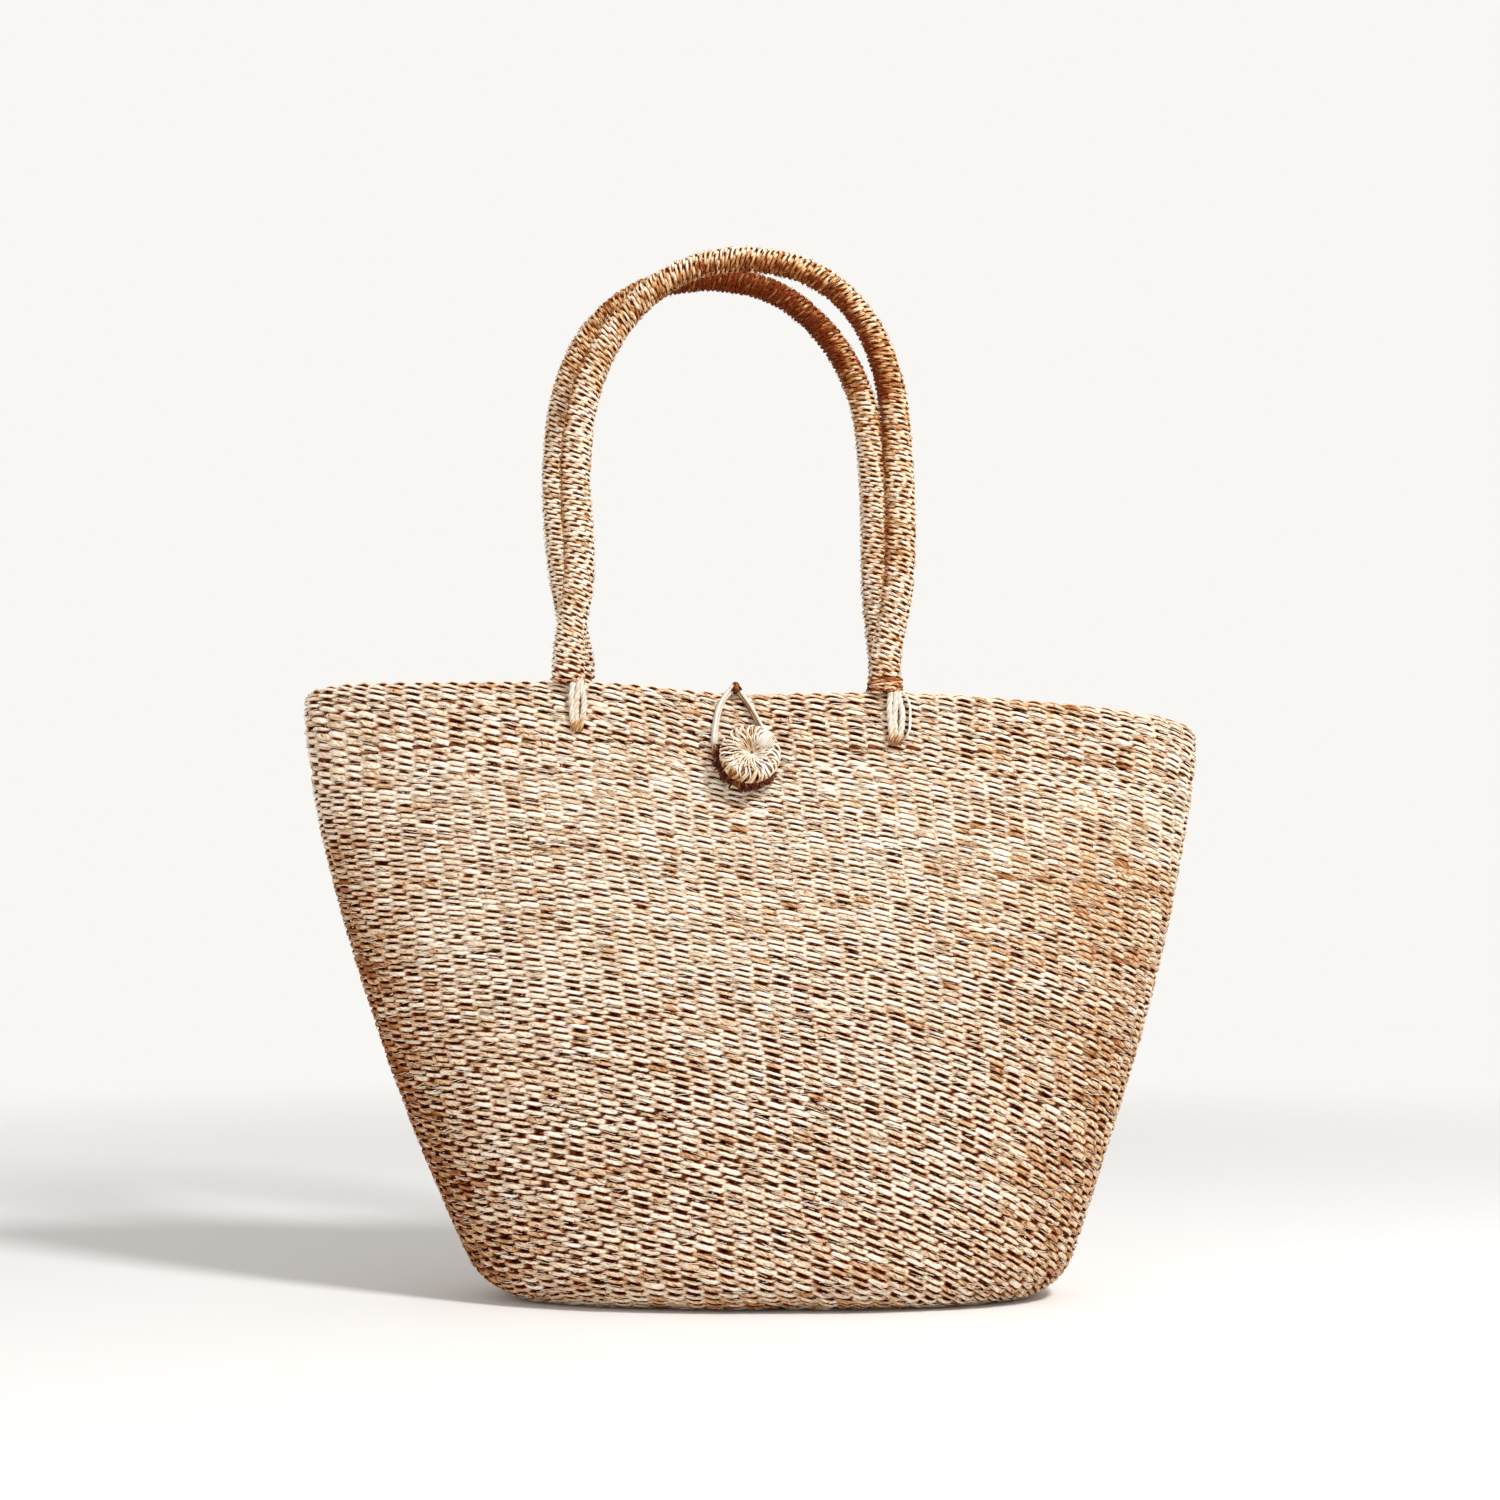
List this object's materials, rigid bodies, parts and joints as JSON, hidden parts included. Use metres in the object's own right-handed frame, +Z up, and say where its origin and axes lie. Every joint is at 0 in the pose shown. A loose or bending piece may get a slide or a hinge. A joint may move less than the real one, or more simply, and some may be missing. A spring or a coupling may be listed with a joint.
{
  "type": "twined fibre handbag",
  "caption": "Flared twined basket handbag of natural plant fibre with wrapped arch handles lashed to the rim and a rosette button closed by a cord loop.",
  "frame": {"origin": "middle of the underside, on the surface that the bag stands on", "axes": "+Z up, -Y towards the front with the button, +X to the right seen from the front"},
  "size_m": [0.4405, 0.1326, 0.5125],
  "materials": {
    "woven_fibre": "twined two-strand straw-coloured plant fibre, matt with a slight sheen on the stitches",
    "hem_fibre": "the same twined fibre, turned to the inside",
    "handle_fibre": "two-ply fibre cord wound closely round a core",
    "core_fibre": "bundle of raw brown fibre",
    "pale_fibre": "pale twisted fibre strand",
    "button_fibre": "pale fibre wound radially into a rosette",
    "bound_fibre": "dark red-brown fibre binding"
  },
  "bodies": {
    "basket": {"woven_wall": "woven_fibre", "woven_base": "woven_fibre", "hem_facing": "hem_fibre", "hem_cord": "core_fibre", "front_left_lashing": "pale_fibre", "front_right_lashing": "pale_fibre", "rear_left_lashing": "pale_fibre", "rear_right_lashing": "pale_fibre", "button_head": "button_fibre", "button_shank": "core_fibre", "button_knot": "core_fibre", "loop_saddle": "pale_fibre"},
    "front_handle": {"front_handle_core": "core_fibre", "front_handle_wrap": "handle_fibre"},
    "rear_handle": {"rear_handle_core": "core_fibre", "rear_handle_wrap": "handle_fibre"},
    "closing_neck": {"loop_neck": "bound_fibre"},
    "closing_loop": {"button_loop": "pale_fibre"}
  },
  "joints": [
    {"name": "front_handle_swing", "type": "hinge", "parent": "basket", "child": "front_handle", "pos_m": [-0.0115, -0.03424, 0.29872], "axis": [1, 0, 0], "range_deg": [0, 160], "deforming": ["front_left_lashing", "front_right_lashing"]},
    {"name": "rear_handle_swing", "type": "hinge", "parent": "basket", "child": "rear_handle", "pos_m": [-0.0108, 0.03427, 0.29871], "axis": [-1, 0, 0], "range_deg": [0, 160], "deforming": ["rear_left_lashing", "rear_right_lashing"]},
    {"name": "loop_neck_flip", "type": "hinge", "parent": "basket", "child": "closing_neck", "pos_m": [-0.007, 0.02272, 0.30063], "axis": [-1, 0, 0], "range_deg": [0, 150], "deforming": ["button_loop"]},
    {"name": "loop_lift", "type": "hinge", "parent": "closing_neck", "child": "closing_loop", "pos_m": [-0.007, -0.02417, 0.29803], "axis": [-1, 0, 0], "range_deg": [0, 90], "deforming": ["button_loop"]}
  ]
}
